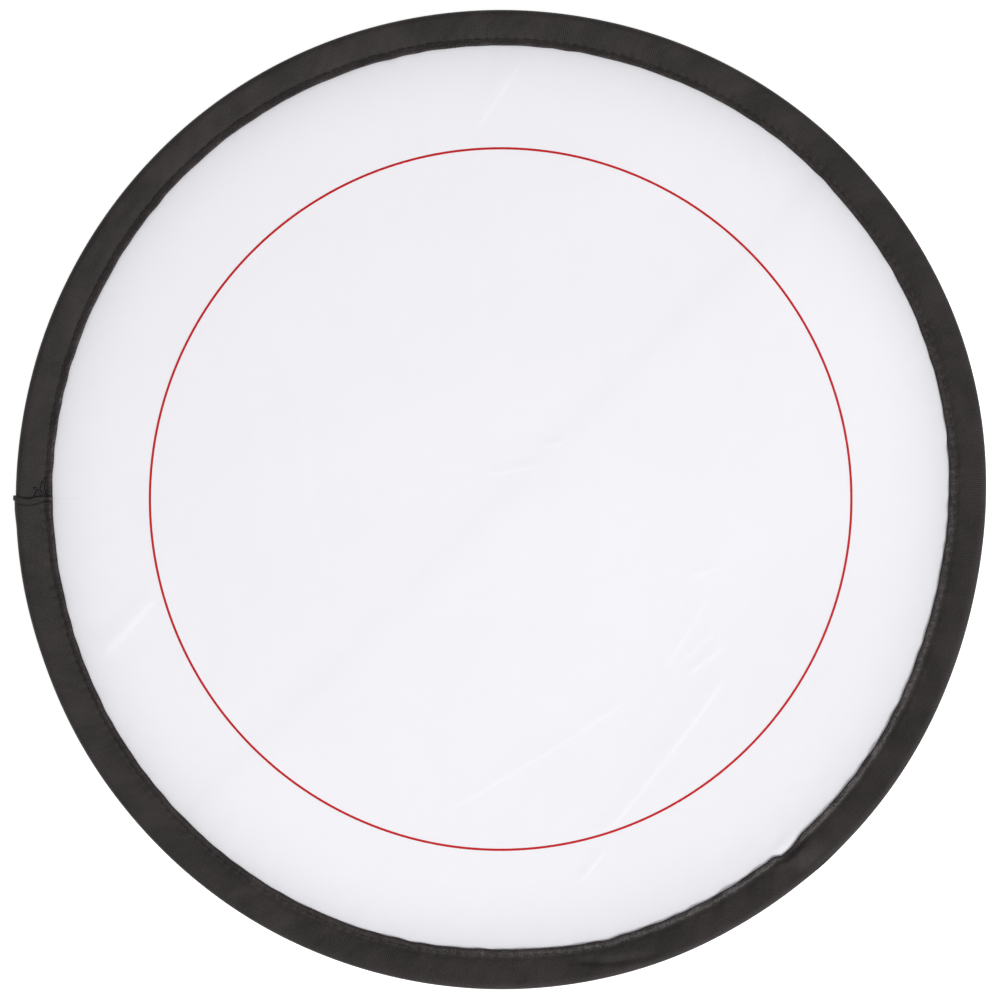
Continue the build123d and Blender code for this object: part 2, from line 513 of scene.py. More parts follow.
# ---------------------------------------------------------------- materials
# How far apart the threads, ribs and twists lie, in millimetres.
WARP_PITCH, WEFT_PITCH, RIB_PITCH, TWIST_PITCH = 0.36, 0.30, 0.52, 0.45


def new_material(name):
    """An empty node material and a function that adds its nodes."""
    material = bpy.data.materials.new(name)
    material.use_nodes = True
    tree = material.node_tree
    tree.nodes.clear()

    def add(kind, links=None, **settings):
        node = tree.nodes.new(kind)
        for key, value in settings.items():
            setattr(node, key, value)
        for socket, value in (links or {}).items():
            if isinstance(value, bpy.types.NodeSocket):
                tree.links.new(value, node.inputs[socket])
            else:
                node.inputs[socket].default_value = value
        return node

    return material, add


def flat_place(add):
    """Where a point lies on the flat material, along it and across it, in millimetres."""
    place = add("ShaderNodeAttribute", attribute_name="flat_place")
    return add("ShaderNodeSeparateXYZ", {0: place.outputs["Vector"]}), place


def maths(add, operation, a, b=0.0):
    """One maths node's output."""
    return add("ShaderNodeMath", {0: a, 1: b}, operation=operation).outputs[0]


def mixed_colour(add, share, first, second):
    """A colour between two colours."""
    mix = add("ShaderNodeMix", {0: share, 6: first, 7: second}, data_type="RGBA")
    return mix.outputs[2]


def ranged(add, value, start, end, low=0.0, high=1.0, soft=False):
    """A value's way from start to end, as a number from low to high."""
    settings = {"interpolation_type": "SMOOTHSTEP"} if soft else {}
    limits = {0: value, 1: start, 2: end, 3: low, 4: high}
    return add("ShaderNodeMapRange", limits, **settings).outputs[0]


def vector_of(add, operation, first, second=None):
    """One vector maths node."""
    links = {0: first} if second is None else {0: first, 1: second}
    return add("ShaderNodeVectorMath", links, operation=operation)


def dented(add, height, strength, depth):
    """The normal of a surface that follows a height, depth in millimetres."""
    links = {"Strength": strength, "Distance": depth * MM, "Height": height}
    return add("ShaderNodeBump", links).outputs[0]


def put_out(add, looks):
    """Makes one principled shader with these looks the whole material."""
    face = add("ShaderNodeBsdfPrincipled", looks)
    add("ShaderNodeOutputMaterial", {0: face.outputs[0]})


def wave_of(add, along, pitch):
    """A sine of a length in millimetres, from -1 to 1."""
    return maths(add, "SINE", maths(add, "MULTIPLY", along, TURN / pitch))


def noise_of(add, place, scale, detail=2.0):
    """Noise over the flat material, scale in cycles per millimetre."""
    links = {"Vector": place.outputs["Vector"], "Scale": scale, "Detail": detail}
    return add("ShaderNodeTexNoise", links).outputs["Fac"]


def weave_of(add, parts):
    """A plain weave's height, from -1 to 1."""
    warp = wave_of(add, parts.outputs["X"], WARP_PITCH)
    weft = wave_of(add, parts.outputs["Y"], WEFT_PITCH)
    return maths(add, "MULTIPLY", warp, weft)


def cloth_material():
    """Thin white taffeta: a fine plain weave that lets some light through, coloured darker toward its
    rim and toward the lower right as painted shade.
    """
    material, add = new_material("white_taffeta")
    parts, place = flat_place(add)
    weave = weave_of(add, parts)
    slub = noise_of(add, place, 0.9)
    height = maths(add, "ADD", maths(add, "MULTIPLY", weave, 0.5), slub)
    cloud = noise_of(add, place, 0.045, 3.0)
    unshaded_tone = mixed_colour(add, cloud, (0.810, 0.802, 0.832, 1), (0.828, 0.819, 0.849, 1))
    # Painted shade: the cloth is coloured slightly darker from 10 mm out to 85 mm, and more from 97 mm
    # out to the binding.
    radius = vector_of(add, "LENGTH", place.outputs["Vector"]).outputs["Value"]
    wide_painted_shade = ranged(add, radius, 10.0, 85.0, high=0.12, soft=True)
    rim_painted_shade = ranged(add, radius, 97.0, 115.5)
    # Painted shade: darker toward the lower right, growing from 38 mm out that way.
    toward = vector_of(add, "DOT_PRODUCT", place.outputs["Vector"], PAINTED_SHADE_WAY).outputs["Value"]
    lower_right_painted_shade = ranged(add, toward, 38.0, 100.0, high=0.42, soft=True)
    spread_painted_shade = maths(add, "ADD", wide_painted_shade, lower_right_painted_shade)
    # All the painted shade together, which mixes the cloth toward a greyer white.
    painted_shade = maths(add, "ADD", spread_painted_shade, maths(add, "MULTIPLY", rim_painted_shade, rim_painted_shade))
    colour = mixed_colour(add, painted_shade, unshaded_tone, (0.755, 0.750, 0.780, 1))
    dent = dented(add, height, 0.12, 0.03)
    face = add(
        "ShaderNodeBsdfPrincipled",
        {
            "Base Color": colour,
            "Roughness": 0.62,
            "Specular IOR Level": 0.35,
            "Sheen Weight": 0.08,
            "Normal": dent,
        },
    )
    through = add("ShaderNodeBsdfTranslucent", {"Color": colour})
    both = add("ShaderNodeMixShader", {0: 0.22, 1: face.outputs[0], 2: through.outputs[0]})
    add("ShaderNodeOutputMaterial", {0: both.outputs[0]})
    return material


def tape_material():
    """Charcoal ribbed ribbon: fine ribs across it, and a plain shinier selvedge at each edge, coloured
    lighter as painted sheen; a painted highlight lies on its front just past the pucker.
    """
    material, add = new_material("ribbed_ribbon")
    parts, place = flat_place(add)
    along, across = parts.outputs["X"], parts.outputs["Y"]
    middle = maths(add, "ABSOLUTE", maths(add, "SUBTRACT", across, RIBBON_WIDTH / MM / 2))
    to_edge = maths(add, "SUBTRACT", RIBBON_WIDTH / MM / 2, middle)
    edge = ranged(add, to_edge, 2.6, 0.9, soft=True)
    patch = noise_of(add, place, 0.09, 4.0)
    # Painted highlight: a lighter patch on the ribbon's front just past the pucker, where its swollen
    # face turns toward the lamp.
    lit_patch_place = ((LIT_PATCH_ANGLE - SEAM_ANGLE) % TURN * RIM_RADIUS / MM, 5.9, 0)
    from_lit_patch = vector_of(add, "SUBTRACT", place.outputs["Vector"], lit_patch_place).outputs[0]
    shrunk = vector_of(add, "MULTIPLY", from_lit_patch, (0.12, 0.26, 0)).outputs[0]
    far = vector_of(add, "LENGTH", shrunk).outputs["Value"]
    lit_patch = ranged(add, far, 1.0, 0.25, soft=True)
    rib_share = ranged(add, noise_of(add, place, 0.16), 0.40, 0.66, 0.15, 0.8)
    ribs = maths(add, "MULTIPLY", wave_of(add, along, RIB_PITCH), rib_share)
    knots = ranged(add, noise_of(add, place, 1.2, 3.0), 0.36, 0.64, -0.8, 0.8)
    fuzz = noise_of(add, place, 1.1, 3.0)
    speck = ranged(add, noise_of(add, place, 1.9, 2.0), 0.36, 0.64)
    weave = add("ShaderNodeMix", {0: edge, 2: ribs, 3: knots}).outputs[0]
    height = maths(add, "ADD", weave, fuzz)
    grain = maths(add, "ADD", maths(add, "MULTIPLY", weave, 0.30), maths(add, "MULTIPLY", speck, 0.55))
    lit = maths(add, "ADD", grain, ranged(add, patch, 0.36, 0.64, -0.10, 0.60))
    face_tone = mixed_colour(add, lit, (0.0190, 0.0158, 0.0153, 1), (0.0370, 0.0312, 0.0304, 1))
    # The selvedge is coloured lighter than the face: painted sheen.
    selvedge_sheen_tone = mixed_colour(add, lit, (0.0190, 0.0150, 0.0152, 1), (0.0440, 0.0355, 0.0358, 1))
    lit_patch_tone = mixed_colour(add, lit, (0.0290, 0.0255, 0.0245, 1), (0.0500, 0.0435, 0.0425, 1))
    colour = mixed_colour(add, lit_patch, mixed_colour(add, edge, face_tone, selvedge_sheen_tone), lit_patch_tone)
    rough = ranged(add, patch, 0.0, 1.0, 0.62, 0.74)
    looks = {
        "Base Color": colour,
        "Roughness": add("ShaderNodeMix", {0: edge, 2: rough, 3: 0.42}).outputs[0],
        "Specular IOR Level": 0.25,
        "Sheen Weight": 0.05,
        "Sheen Roughness": 0.4,
        "Normal": dented(add, height, 0.7, 0.06),
    }
    put_out(add, looks)
    return material


def thread_material():
    """Black twisted polyester thread."""
    material, add = new_material("black_thread")
    parts, place = flat_place(add)
    slant = maths(add, "ADD", parts.outputs["X"], maths(add, "MULTIPLY", parts.outputs["Y"], 0.6))
    twist = wave_of(add, slant, TWIST_PITCH)
    fuzz = noise_of(add, place, 1.5)
    colour = mixed_colour(add, fuzz, (0.012, 0.010, 0.010, 1), (0.024, 0.020, 0.020, 1))
    looks = {
        "Base Color": colour,
        "Roughness": 0.5,
        "Specular IOR Level": 0.35,
        "Normal": dented(add, twist, 0.7, 0.04),
    }
    put_out(add, looks)
    return material


def ink_material():
    """Red ink that has soaked into the cloth's weave."""
    material, add = new_material("red_ink")
    parts, place = flat_place(add)
    soaked = noise_of(add, place, 0.8)
    colour = mixed_colour(add, soaked, (0.525, 0.0050, 0.0085, 1), (0.585, 0.0070, 0.0115, 1))
    looks = {
        "Base Color": colour,
        "Roughness": 0.6,
        "Specular IOR Level": 0.3,
        "Normal": dented(add, weave_of(add, parts), 0.12, 0.03),
    }
    put_out(add, looks)
    return material


def steel_material(name, colour, streak_scale):
    """Rolled steel with fine streaks along it."""
    material, add = new_material(name)
    place = flat_place(add)[1]
    stretched = add("ShaderNodeMapping", {0: place.outputs["Vector"], 3: (0.05, 6.0, 1.0)}).outputs[0]
    links = {"Vector": stretched, "Scale": streak_scale, "Detail": 3.0}
    streak = add("ShaderNodeTexNoise", links).outputs["Fac"]
    dark = tuple(c * 0.7 for c in colour)
    looks = {
        "Base Color": mixed_colour(add, streak, (*dark, 1), (*colour, 1)),
        "Metallic": 1.0,
        "Roughness": ranged(add, streak, 0.0, 1.0, 0.28, 0.45),
        "Normal": dented(add, streak, 0.2, 0.02),
    }
    put_out(add, looks)
    return material


def floor_material():
    """A glowing white table, so that nothing throws a shadow on it."""
    material, add = new_material("light_table")
    grain = add("ShaderNodeTexNoise", {"Scale": 900.0, "Detail": 2.0}).outputs["Fac"]
    colour = mixed_colour(add, grain, (0.945, 0.945, 0.945, 1), (0.955, 0.955, 0.955, 1))
    looks = {
        "Base Color": colour,
        "Roughness": 0.9,
        "Specular IOR Level": 0.1,
        "Emission Color": (1.0, 1.0, 1.0, 1),
        "Emission Strength": FLOOR_GLOW,
    }
    put_out(add, looks)
    return material


# ---------------------------------------------------------------- cloth pieces
def make_cloth(material):
    """The cloth disc, one ply, as a grid whose columns fall on the fold pieces' edges."""
    made = []
    widest = PANEL_RADIUS - CLOTH_TIP_GAP
    for fold in FOLDS:
        inner, outer = fold["start"], fold["end"]
        if fold["last"]:
            outer = math.copysign(widest, outer)
        columns = round(abs(outer - inner) / CLOTH_GRID) + 1
        rows = round(2 * PANEL_RADIUS / CLOTH_GRID) + 1
        x = np.linspace(min(inner, outer), max(inner, outer), columns)[:, None]
        reach = np.sqrt(PANEL_RADIUS**2 - x**2)
        y = np.linspace(-1, 1, rows)[None, :] * reach
        x = np.broadcast_to(x, y.shape).ravel()
        y = y.ravel()
        points = np.stack([x, y, cloth_height(x, y)], -1)
        step = SLOPE_STEP
        slope_x = (cloth_height(x + step, y) - cloth_height(x - step, y)) / (2 * step)
        slope_y = (cloth_height(x, y + step) - cloth_height(x, y - step)) / (2 * step)
        normals = np.stack([-slope_x, -slope_y, np.ones_like(x)], -1)
        normals /= np.linalg.norm(normals, axis=1)[:, None]
        flat = np.stack([x, y, np.zeros_like(x)], -1) / MM
        name = f"cloth_{fold['name']}"
        piece = add_object(name, new_mesh(name, points, grid_faces(columns, rows), normals, flat))
        finish_piece(piece, fold, material, nodes_of("panel", fold))
        lengths = 2 * reach[:, 0]
        width = abs(outer - inner)
        area = float(((lengths[1:] + lengths[:-1]) / 2).sum() * width / (columns - 1))
        made.append((fold, piece, (width, float(lengths.max())), area))
    return made


def make_ring(material):
    """The thin printed ring, as a film that follows the cloth."""
    columns, rows = RING_COLUMNS, 3
    angle = np.linspace(0, TURN, columns, endpoint=False)[:, None]
    radius = RING_RADIUS + np.linspace(-0.5, 0.5, rows)[None, :] * RING_WIDTH
    x = (RING_CENTRE[0] + radius * np.cos(angle)).ravel()
    y = (RING_CENTRE[1] + radius * np.sin(angle)).ravel()
    points = np.stack([x, y, cloth_height(x, y) + RING_LIFT], -1)
    flat = np.stack([x, y, np.zeros_like(x)], -1) / MM
    faces = [face[::-1] for face in grid_faces(columns, rows)]
    last = (columns - 1) * rows
    faces += [[row + 1, row, last + row, last + row + 1] for row in range(rows - 1)]
    whole = new_mesh("ring", points, faces, flat=flat)
    cut_at_folds(whole)
    found = {}
    for fold, _, piece in split_at_folds("printed_ring", whole):
        finish_piece(piece, fold, material, ())
        found[fold["name"]] = piece
    return found


# ---------------------------------------------------------------- binding
# The folded ribbon's front: share of the way out to the rim, and height in millimetres.
FRONT_SHARES = (
    (0.0, 0.045, 0.09, 0.14, 0.18, 0.23, 0.30, 0.42)
    + (0.55, 0.68, 0.78, 0.85, 0.91, 0.955, 0.985, 1.0)
)
FRONT_HEIGHTS = (
    (0.60, 0.76, 0.70, 0.47, 0.38, 0.48, 0.76, 1.10)
    + (1.39, 1.62, 1.77, 1.83, 1.74, 1.46, 0.95, 0.0)
)
FRONT_POINTS = 33


def lengths_along(share, height):
    """How far along the section each of its points is, in millimetres."""
    steps = np.hypot(np.diff(share) * BINDING_WIDTH_MM, np.diff(height) / MM)
    return np.concatenate([[0], np.cumsum(steps)])


def section_curve():
    """The folded ribbon's whole section as shares and heights, front lip to back lip."""
    share, height = np.array(FRONT_SHARES), np.array(FRONT_HEIGHTS) * MM
    steps = lengths_along(share, height)
    at = np.linspace(0, steps[-1], FRONT_POINTS)
    share_in, height_in = natural_curve(steps, share, at), natural_curve(steps, height, at)
    share_in[-1], height_in[-1] = 1.0, 0.0
    return (
        np.concatenate([share_in, share_in[-2::-1]]),
        np.concatenate([height_in, -height_in[-2::-1]]),
    )


SECTION_SHARE, SECTION_HEIGHT = section_curve()
HALF = len(SECTION_SHARE) // 2 + 1
STITCH_SHARE = 0.178
SECTION_ACROSS = lengths_along(SECTION_SHARE, SECTION_HEIGHT)
RIBBON_WIDTH = float(SECTION_ACROSS[-1]) * MM
face_roll = waves(31, 28 * MM, 7 * MM)
face_creep = waves(32, 9 * MM, 3 * MM)
lip_curl = waves(33, 22 * MM, 5 * MM)
thread_depth = waves(35, 60 * MM, 12 * MM)
back_roll = waves(34, 45 * MM, 12 * MM)

# Places where the ribbon's front is creased: azimuth in degrees, share of its width, depth, half length.
TAPE_CREASES = (
    (55.5, 0.55, 0.20, 3.5),
    (143.0, 0.45, 0.20, 5.0),
    (148.5, 0.60, -0.16, 3.5),
    (153.5, 0.50, -0.16, 4.0),
    (302.0, 0.42, 0.10, 5.0),
    (20.0, 0.45, 0.10, 5.0),
    (232.0, 0.50, 0.12, 6.0),
    (187.5, 0.40, 0.12, 6.0),
)

# The fold that runs along the ribbon's front near the bottom: its azimuths and its share of the width.
FOLD_AZIMUTHS = (278.8, 279.8, 282.0, 284.4, 286.8, 289.5)
FOLD_SHARES = (0.40, 0.46, 0.58, 0.66, 0.72, 0.80)


def stitch_phase(angle):
    """How many stitches along the seam a place is, with a needle hole at each whole number."""
    return (angle + math.pi) / TURN * STITCH_COUNT


def long_fold(angle, share):
    """The fold near the bottom: a slow sinking, then a sharp rise to the crest."""
    degrees = np.degrees(angle) % 360
    past = share - np.interp(degrees, FOLD_AZIMUTHS, FOLD_SHARES)
    fade = smooth((degrees - 279.0) / 0.9) * (1 - smooth((degrees - 284.5) / 6.0))
    rise = (1 - np.clip(past / 0.13, 0, 1)) ** 1.4
    return -0.58 * MM * fade * smooth((past + 0.26) / 0.26) * rise


def plain_height(share):
    """The ribbon's front above the middle plane, without its ripples."""
    return np.interp(share, SECTION_SHARE[:HALF], SECTION_HEIGHT[:HALF])


def lip_shape(angle, share):
    """How the inner edge stands up or sinks in each zone where it lies its own way."""
    shaded = 0.16 * (1 - smooth(share / 0.05)) + 0.06 * (1 - smooth((share - 0.15) / 0.1))
    shaded = shaded + 0.25 * bump((share - 0.16) / 0.05)
    leaning = 0.20 * bump((share - 0.09) / 0.07) - 0.15 * (1 - smooth(share / 0.07))
    sunlit = 0.08 * (1 - smooth((share - 0.02) / 0.2)) + 0.15 * (1 - smooth(share / 0.05))
    sunlit = sunlit - 0.11 * bump((share - 0.055) / 0.035)
    sunlit = sunlit + 0.15 * bump((share - 0.20) / 0.12)
    total = zone(angle, *SHADED) * shaded + zone(angle, *LEANING) * leaning
    return MM * (total + zone(angle, *SUNLIT) * sunlit)


def tape_creases(angle, share):
    """The ribbon's small creases."""
    total = 0.0
    for azimuth, middle, depth, half in TAPE_CREASES:
        off = angle_between(angle, math.radians(azimuth)) * RIM_RADIUS
        total = total + depth * MM * bump(off / (half * MM)) * bump((share - middle) / 0.14)
    return total


def pucker_swell(angle, share):
    """How the ribbon swells past the pucker, and is tucked down at its inner edge."""
    past = past_notch(angle)
    short = np.clip(1.70 * MM - plain_height(share), 0, None)
    swollen = bump((past - 0.8 * MM - share * 6 * MM) / (4.6 * MM)) * smooth((share - 0.12) / 0.13)
    tucked = bump((past - 2.0 * MM) / (3.2 * MM)) * (1 - smooth((share - 0.03) / 0.15))
    tilted = 0.45 * MM * (0.75 - share) * smooth((share - 0.15) / 0.15)
    return swollen * (0.95 * short + tilted) - 0.50 * MM * tucked


def tape_ripple(angle, share, front):
    """How much the ribbon's face stands up or sinks, beyond its plain section."""
    along = angle * RIM_RADIUS
    slope_zone = smooth((share - 0.2) / 0.2) * (1 - smooth((share - 0.72) / 0.2))
    roll = np.where(front, face_roll(along + share * 7 * MM), back_roll(along))
    total = 0.06 * MM * slope_zone * roll
    total += 0.028 * MM * slope_zone * face_creep(along + share * 6 * MM)
    near_stitch = bump((share - STITCH_SHARE) / 0.07)
    hole = np.cos(TURN * stitch_phase(angle))
    total += near_stitch * (-0.06 - 0.05 * hole) * MM
    shoulder = bump((share - 0.29) / 0.08)
    total += shoulder * (-0.03 * hole + 0.05 * face_creep(along)) * MM
    lip = 1 - smooth(share / 0.14)
    total += lip * (0.10 * lip_curl(along) - 0.02 * hole) * MM
    on_front = sum(part(angle, share) for part in (lip_shape, tape_creases, long_fold, pucker_swell))
    return total + np.where(front, on_front, 0.0)


# The ribbon's folded end, by share of its width: how far its edge bows back, and its roll's width.
SEAM_SHARES = np.array([0.0, 0.13, 0.24, 0.35, 0.46, 0.60, 0.75, 0.88, 1.0])
SEAM_SAGS = np.array([0.26, 0.26, 0.26, 0.28, 0.42, 0.82, 0.80, 0.46, 0.0]) * MM
SEAM_ROLLS = np.array([0.85, 0.89, 0.98, 1.26, 1.52, 1.42, 1.34, 1.38, 1.10]) * MM


def seam_lift(distance, share):
    """How far the ribbon's end stands off the ribbon below, by the distance from its folded edge."""
    share = np.asarray(share, float)
    width = natural_curve(SEAM_SHARES, SEAM_ROLLS, share)
    folded = 1 - smooth((distance - width + 0.32 * MM) / (0.42 * MM))
    lapped = 1 - smooth((distance - 2.5 * MM) / (6 * MM))
    seen = 1 - smooth((share - 0.86) / 0.1)
    groove = -0.30 * MM * seen * bump((distance - width) / (0.24 * MM))
    second = -0.10 * MM * bump((distance - width * 0.5) / (0.2 * MM)) * bump((share - 0.15) / 0.16)
    return LAP_LIFT * lapped + (FOLD_LIFT - LAP_LIFT) * folded + groove + second


def seam_sag(share):
    """How far the folded edge bows back from a straight line across the ribbon."""
    return natural_curve(SEAM_SHARES, SEAM_SAGS, share)


def tape_point(angle, share, height, front, lift):
    """The ribbon's outer face, lifted off its plain place, and the section's own normal there."""
    inner, outer = inner_edge(angle), rim_edge(angle)
    radius = inner + share * (outer - inner)
    ripple = tape_ripple(angle, share, front) * np.where(front, 1.0, -1.0)
    level = height + ripple
    gradient_r = np.gradient(radius, axis=1)
    gradient_z = np.gradient(level, axis=1)
    size = np.hypot(gradient_r, gradient_z)
    out_r, out_z = -gradient_z / size, gradient_r / size
    out_r = np.where(out_r < 0, 0.2 * out_r, out_r)
    radius = radius + out_r * lift
    level = level + out_z * lift
    return radius, level, out_r, out_z


def tape_columns():
    """How far along the rim each of the ribbon's columns is from its folded end.

    The ribbon goes once round and then on under its own lapped end. Columns lie closest at the
    folded end, and keep step with the stitches beyond the lap.
    """
    whole = TURN * RIM_RADIUS + LAP_LENGTH
    near = np.arange(0, 5.0, 0.1) * MM
    middle = np.arange(5.0, LAP_LENGTH / MM, 0.25) * MM
    far = np.arange(LAP_LENGTH, whole, TURN * RIM_RADIUS / (STITCH_COUNT * COLUMNS_PER_STITCH))
    return np.concatenate([near, middle, far])


def turned_under(angle, radius, level, out_r, out_z):
    """The ribbon's columns with its turned-under edge put before them.

    The edge goes round a small bend and back below.
    """
    bend = FOLD_LIFT / 2
    steps = [(-1.0 * MM, 2 * bend), (-0.5 * MM, 2 * bend)]
    for turn in np.radians([180, 150, 120, 90, 60, 30]):
        steps.append((bend * math.sin(turn), bend * (1 - math.cos(turn))))
    forward, drop = np.array(steps).T[:, :, None]
    depth = drop * 0.95
    return (
        np.concatenate([angle[:1] - forward / RIM_RADIUS, angle]),
        np.concatenate([radius[:1] - out_r[:1] * depth, radius]),
        np.concatenate([level[:1] - out_z[:1] * depth, level]),
        np.concatenate([np.repeat(out_r[:1], len(steps), 0), out_r]),
        np.concatenate([np.repeat(out_z[:1], len(steps), 0), out_z]),
    )


def off_floor(radius, level, angle):
    """Points at levels from the middle plane, none of them in the floor."""
    return polar(radius, angle, np.maximum(MIDDLE + level, FLOOR_GAP))


def ribbon_strip(angle, radius, level, out_r, out_z):
    """The ribbon's outer face, with a round lip and a little of the inner face at each edge."""
    thick = TAPE_THICKNESS
    outer = off_floor(radius, level, angle)
    inner = off_floor(radius - out_r * thick, level - out_z * thick, angle)
    lips = []
    for end in (0, -1):
        lip_radius = radius[:, end] - out_r[:, end] * thick / 2 - thick * 0.4
        lip_level = level[:, end] - out_z[:, end] * thick / 2
        lips.append(off_floor(lip_radius, lip_level, angle[:, end])[:, None])
    first, last = inner[:, [4, 2, 0]], inner[:, [-1, -3, -5]]
    return np.concatenate([first, lips[0], outer, lips[1], last], 1)


def make_binding(material):
    """The ribbon folded over the rim, all round, with its lapped end as a piece of its own."""
    distance = tape_columns()[:, None]
    share = SECTION_SHARE[None, :]
    front = (np.arange(len(SECTION_SHARE)) < HALF)[None, :]
    lift = seam_lift(distance, share)
    sag = seam_sag(share) * np.exp(-distance / (8 * MM))
    angle = SEAM_ANGLE + distance / RIM_RADIUS + sag / RIM_RADIUS
    height = np.broadcast_to(SECTION_HEIGHT[None, :], lift.shape)
    strip = ribbon_strip(*turned_under(angle, *tape_point(angle, share, height, front, lift)))
    columns, rows = strip.shape[:2]
    turned = columns - len(distance)

    across_in = np.array([0.12, 0.25, 0.7, 1.2])
    across = np.concatenate([-across_in[::-1], SECTION_ACROSS, SECTION_ACROSS[-1] + across_in])
    along = np.concatenate([np.arange(-turned, 0) * 0.3 * MM, distance[:, 0]]) / MM
    faces = grid_faces(columns, rows)
    whole = new_mesh("ribbon", strip.reshape(-1, 3), faces, flat=flat_grid(along, across))
    end_columns = turned + int(np.sum(distance < LAP_LENGTH))
    is_end = np.repeat(np.arange(columns - 1) < end_columns, rows - 1)
    whole.polygons.foreach_set("material_index", is_end.astype(np.int32))
    cut_at_folds(whole)
    made = []
    for fold, part, piece in split_at_folds("ribbon", whole, ("", "ribbon_end")):
        nodes = ["tape_end"] if part else nodes_of("binding", fold)
        finish_piece(piece, fold, material, nodes)
        made.append((piece, (RIBBON_WIDTH, LAP_LENGTH if part else arc_length(fold))))
    return made


def arc_length(fold):
    """How much rim lies in one fold piece, on both sides of the X axis."""
    inner = math.acos(abs(fold["start"]) / RIM_RADIUS)
    outer = 0.0 if fold["last"] else math.acos(abs(fold["end"]) / RIM_RADIUS)
    return 2 * (inner - outer) * RIM_RADIUS


# ---------------------------------------------------------------- thread
def thread_tubes(paths, front, thread_radius=THREAD_RADIUS):
    """Closed round tubes that taper in at both ends, one along each path.

    Returns their points, and one tube's faces.
    """
    along = np.gradient(paths, axis=1)
    along /= np.linalg.norm(along, axis=2, keepdims=True)
    side = np.cross(along, (0, 0, 1 if front else -1))
    side /= np.linalg.norm(side, axis=2, keepdims=True)
    over = np.cross(side, along)
    rings = paths.shape[1]
    turn = np.linspace(0, TURN, THREAD_SIDES, endpoint=False)[:, None]
    shape = thread_radius * np.sqrt(np.clip(1 - np.linspace(-0.97, 0.97, rings) ** 8, 0.02, 1))
    ring = side[:, :, None] * np.cos(turn) + over[:, :, None] * np.sin(turn)
    points = paths[:, :, None] + ring * shape[:, None, None]
    faces = [face[::-1] for face in grid_faces(rings, THREAD_SIDES, close_rows=True)]
    faces.append(list(range(THREAD_SIDES)))
    faces.append([(rings - 1) * THREAD_SIDES + i for i in range(THREAD_SIDES)][::-1])
    return points.reshape(len(paths), -1, 3), faces


def thread_object(name, tubes, faces):
    """One object made of many tubes."""
    size = tubes.shape[1]
    every = [[i + number * size for i in face] for number in range(len(tubes)) for face in faces]
    run = np.repeat(np.arange(size // THREAD_SIDES), THREAD_SIDES) * 0.3
    turn = np.tile(np.arange(THREAD_SIDES) / THREAD_SIDES, size // THREAD_SIDES)
    flat = np.tile(np.stack([run, turn, np.zeros(size)], -1), (len(tubes), 1))
    return add_object(name, new_mesh(name, tubes.reshape(-1, 3), every, flat=flat))


def surface_level(angle, share, front):
    """Height of the ribbon's outer face above the middle plane, seam included."""
    distance = ((angle - SEAM_ANGLE) % TURN) * RIM_RADIUS
    lift = np.where(distance < LAP_LENGTH, seam_lift(distance, share), 0.0)
    level = plain_height(share) + tape_ripple(angle, share, front) + lift
    return level if front else np.minimum(level, MIDDLE - FLOOR_GAP)


def stitch_sink(angle):
    """How deep the front's stitches are pulled into the ribbon."""
    loose = smooth(0.5 + thread_depth(angle * RIM_RADIUS))
    return MM * (0.14 * zone(angle, *SUNLIT) + 0.12 * loose)


def make_thread(material, kind, front):
    """A face's line of stitches, each lying on the ribbon between two needle holes."""
    source = np.random.default_rng(41 if front else 42)
    middles = -math.pi + (np.arange(STITCH_COUNT) + 0.5) * TURN / STITCH_COUNT
    t = np.linspace(-1, 1, 9)[None, :]
    angle = middles[:, None] + t * TURN / STITCH_COUNT / 2 * 0.9
    start, end = source.uniform(-0.10, 0.10, (2, STITCH_COUNT, 1)) * MM
    slant = source.uniform(0.02, 0.10, (STITCH_COUNT, 1)) * MM
    radius = stitch_radius(angle) + start * (1 - t) / 2 + end * (1 + t) / 2 + slant * t
    share = (radius - inner_edge(angle)) / (rim_edge(angle) - inner_edge(angle))
    sunk = stitch_sink(angle) if front else 0.0
    level = surface_level(angle, share, front) + THREAD_RADIUS * (0.55 - 2.4 * t**6) - sunk
    height = MIDDLE + level if front else np.maximum(MIDDLE - level, THREAD_RADIUS)
    tubes, faces = thread_tubes(polar(radius, angle, height), front)
    homes = fold_at(tubes[:, :, 0].mean(1))
    for number, fold in enumerate(FOLDS):
        name = f"{'front' if front else 'back'}_stitches_{fold['name']}"
        piece = thread_object(name, tubes[homes == number], faces)
        finish_piece(piece, fold, material, nodes_of(kind, fold))


# Strokes of the end tack: start and end, each as distance out from the inner edge and above the fold.
TACK_STROKES = (
    (4.70, 2.30, 3.60, 2.05),
    (3.55, 1.95, 4.45, -0.05),
    (3.65, 2.15, 2.90, 0.30),
    (2.75, 1.60, 2.15, 0.20),
    (2.95, 1.60, 2.30, 4.30),
    (1.80, 1.50, 1.55, 3.90),
    (1.75, 2.10, 0.70, 0.55),
    (2.00, 4.70, 1.00, 5.00),
    (2.95, 0.15, 1.10, 0.35),
)


